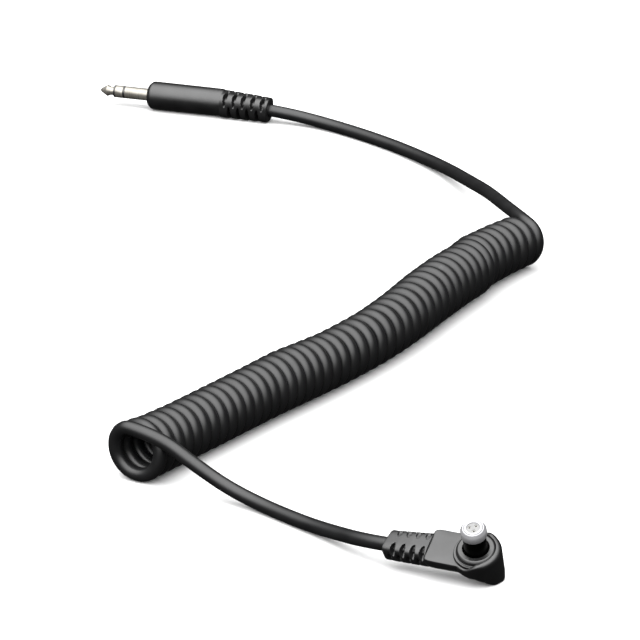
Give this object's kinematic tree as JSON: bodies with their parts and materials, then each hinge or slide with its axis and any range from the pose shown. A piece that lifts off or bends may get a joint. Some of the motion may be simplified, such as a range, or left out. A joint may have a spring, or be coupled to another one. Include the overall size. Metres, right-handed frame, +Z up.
{
  "type": "coiled camera trigger cable",
  "caption": "Coiled trigger cable with a straight three-contact jack plug at one end and a right-angle round camera plug with a sliding lock sleeve at the other.",
  "frame": {"origin": "on the floor the cable lies on, under the middle of the box round its two plugs", "axes": "+Z up from the floor; +Y along the laid-out cable from the camera plug towards the jack; +X to the right when looking along +Y"},
  "size_m": [0.1237, 0.3511, 0.0167],
  "materials": {
    "plated_contact": "polished, warm nickel plate",
    "black_plastic": "satin",
    "brass": "dull",
    "solder": "dull",
    "core_red": "satin",
    "core_white": "satin",
    "core_yellow": "satin",
    "inner_mould": "matte",
    "soft_moulding": "satin",
    "cord_jacket": "satin",
    "black_metal": "satin black",
    "bright_metal": "polished",
    "insulator": "satin",
    "gold_contact": "polished",
    "spring_steel": "bright"
  },
  "bodies": {
    "cable": {"camera_lead": "cord_jacket", "coil": "cord_jacket", "head_collar": "black_plastic", "jack_ground_core": "core_yellow", "jack_inner_mould": "inner_mould", "jack_lead": "cord_jacket", "jack_overmould": "soft_moulding", "jack_rear_insulator": "black_plastic", "jack_ring_contact": "plated_contact", "jack_ring_core": "core_red", "jack_ring_insulator": "black_plastic", "jack_ring_tag": "brass", "jack_sleeve_clamp": "brass", "jack_sleeve_contact": "plated_contact", "jack_solder": "solder", "jack_tip_contact": "plated_contact", "jack_tip_core": "core_white", "jack_tip_insulator": "black_plastic", "jack_tip_tag": "brass", "nose_neck": "black_metal", "plug_contact_barrel": "bright_metal", "plug_contacts": "gold_contact", "plug_crimp": "brass", "plug_focus_core": "core_white", "plug_ground_core": "core_yellow", "plug_inner_mould": "inner_mould", "plug_insulator": "insulator", "plug_overmould": "soft_moulding", "plug_signal_core": "core_red", "plug_solder": "solder", "release_spring": "spring_steel"},
    "sleeve": {"release_sleeve": "bright_metal"}
  },
  "joints": [
    {"name": "sleeve_slide", "type": "slide", "parent": "cable", "child": "sleeve", "axis": [0.1115, 0.4426, -0.8898], "range_m": [0, 0.00135], "stiffness_N_per_m": 200, "springref_m": -0.003, "deforming": ["release_spring"]}
  ]
}
